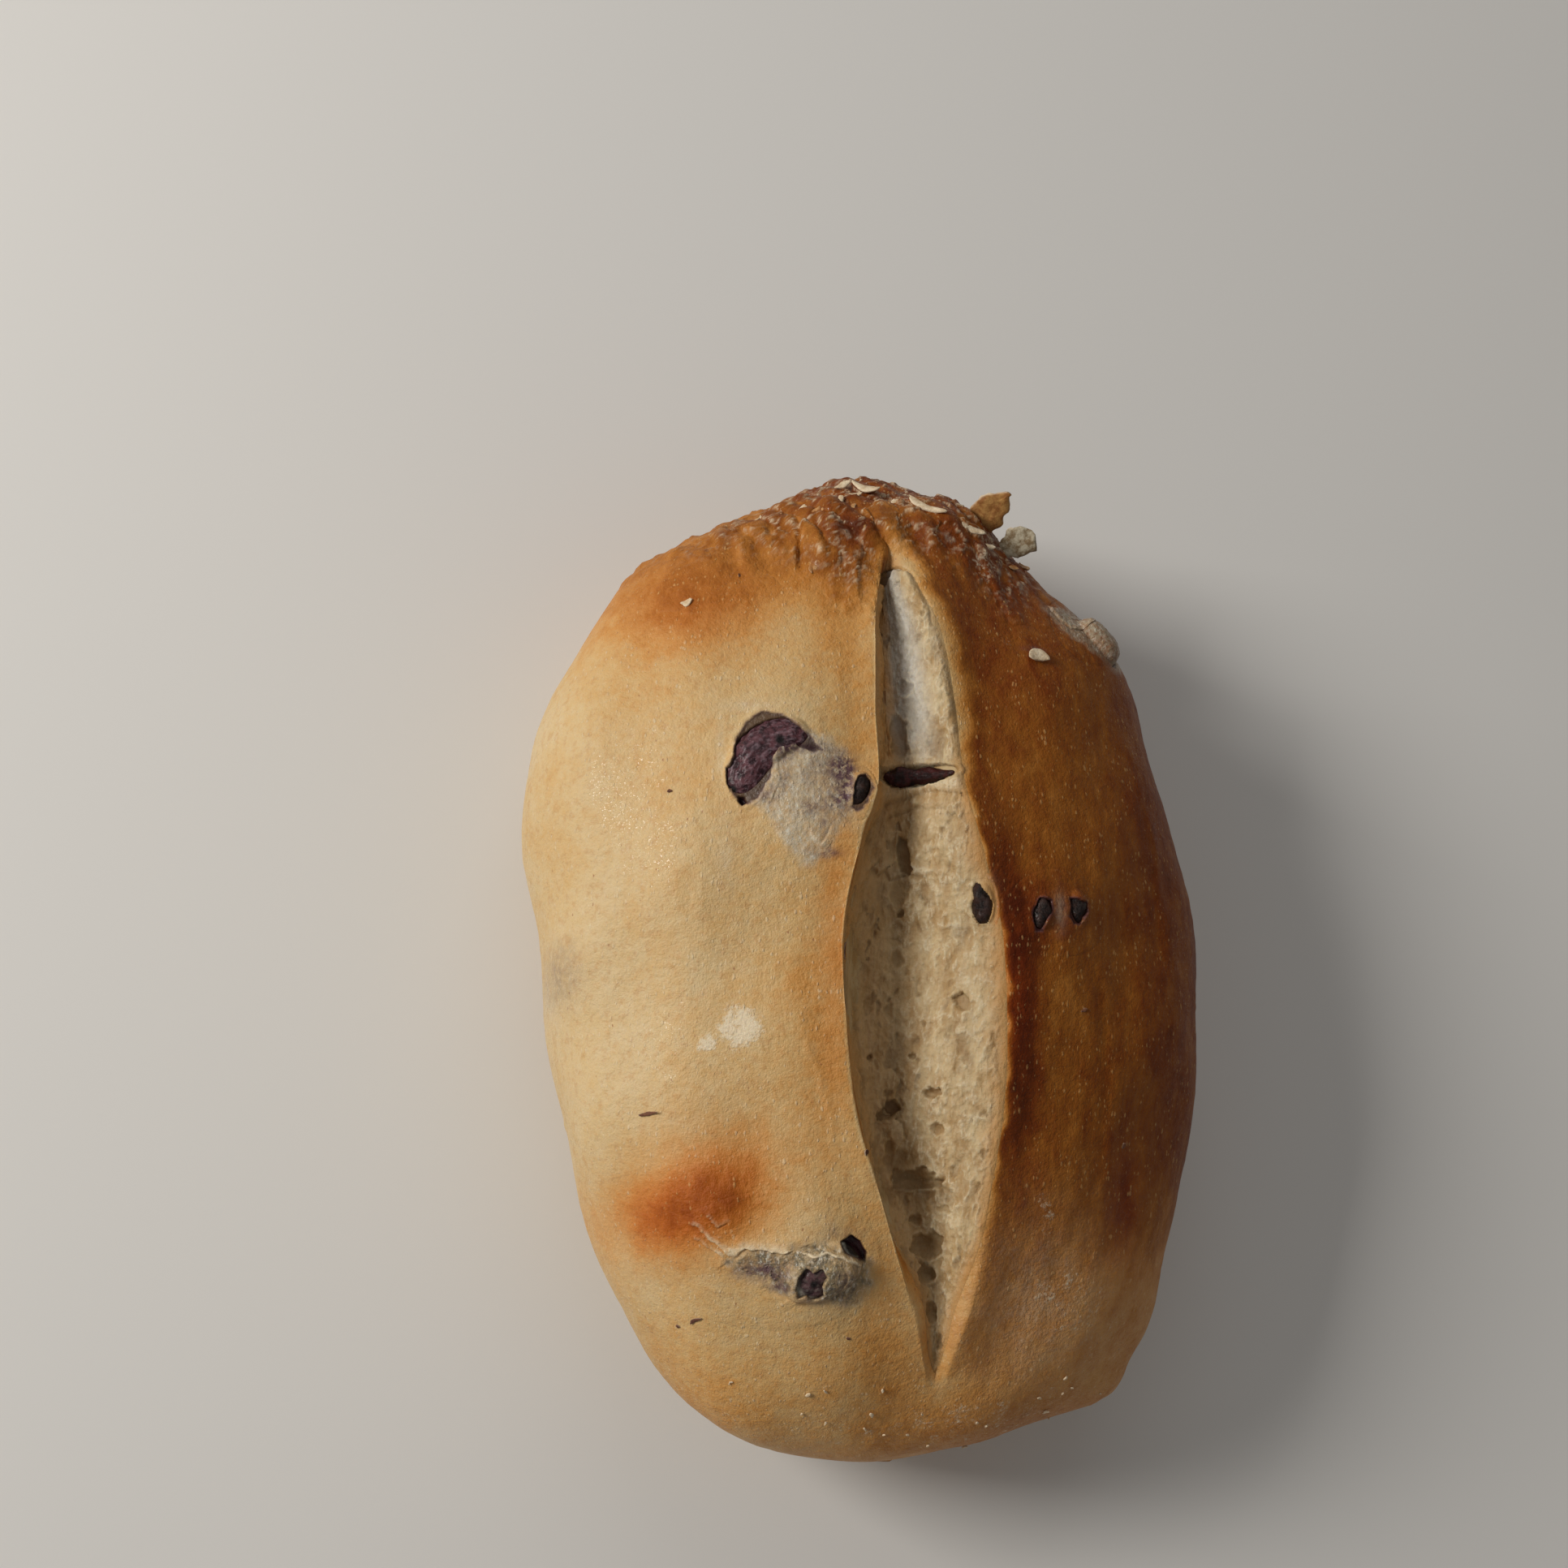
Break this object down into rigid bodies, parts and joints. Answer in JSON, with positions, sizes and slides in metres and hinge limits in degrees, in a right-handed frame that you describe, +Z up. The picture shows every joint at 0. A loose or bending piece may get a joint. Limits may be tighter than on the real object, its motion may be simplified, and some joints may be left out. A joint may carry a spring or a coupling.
{
  "type": "olive ciabatta roll",
  "caption": "Oval bread roll with a floury golden crust, one long opened slash over pale crumb and dark olive pieces set in the crust.",
  "frame": {"origin": "middle of the roll's outline on its flat base", "axes": "+X across the roll, +Y along it towards the cracked far end, +Z up from the base"},
  "size_m": [0.0951, 0.1366, 0.0471],
  "materials": {
    "crust": "baked crust, pale tan to orange brown with flour, matt with a faint sheen; the crumb in the slash is matt cream",
    "olive": "moist dark purple olive flesh, wrinkled, softly glossy"
  },
  "bodies": {
    "root": {"loaf": "crust", "olive_far_left": "olive", "olive_left_lip": "olive", "olive_in_slash": "olive", "olive_right_lip": "olive", "olive_right_near": "olive", "olive_right_far": "olive", "olive_near_left": "olive", "olive_far_right": "olive"}
  },
  "joints": []
}
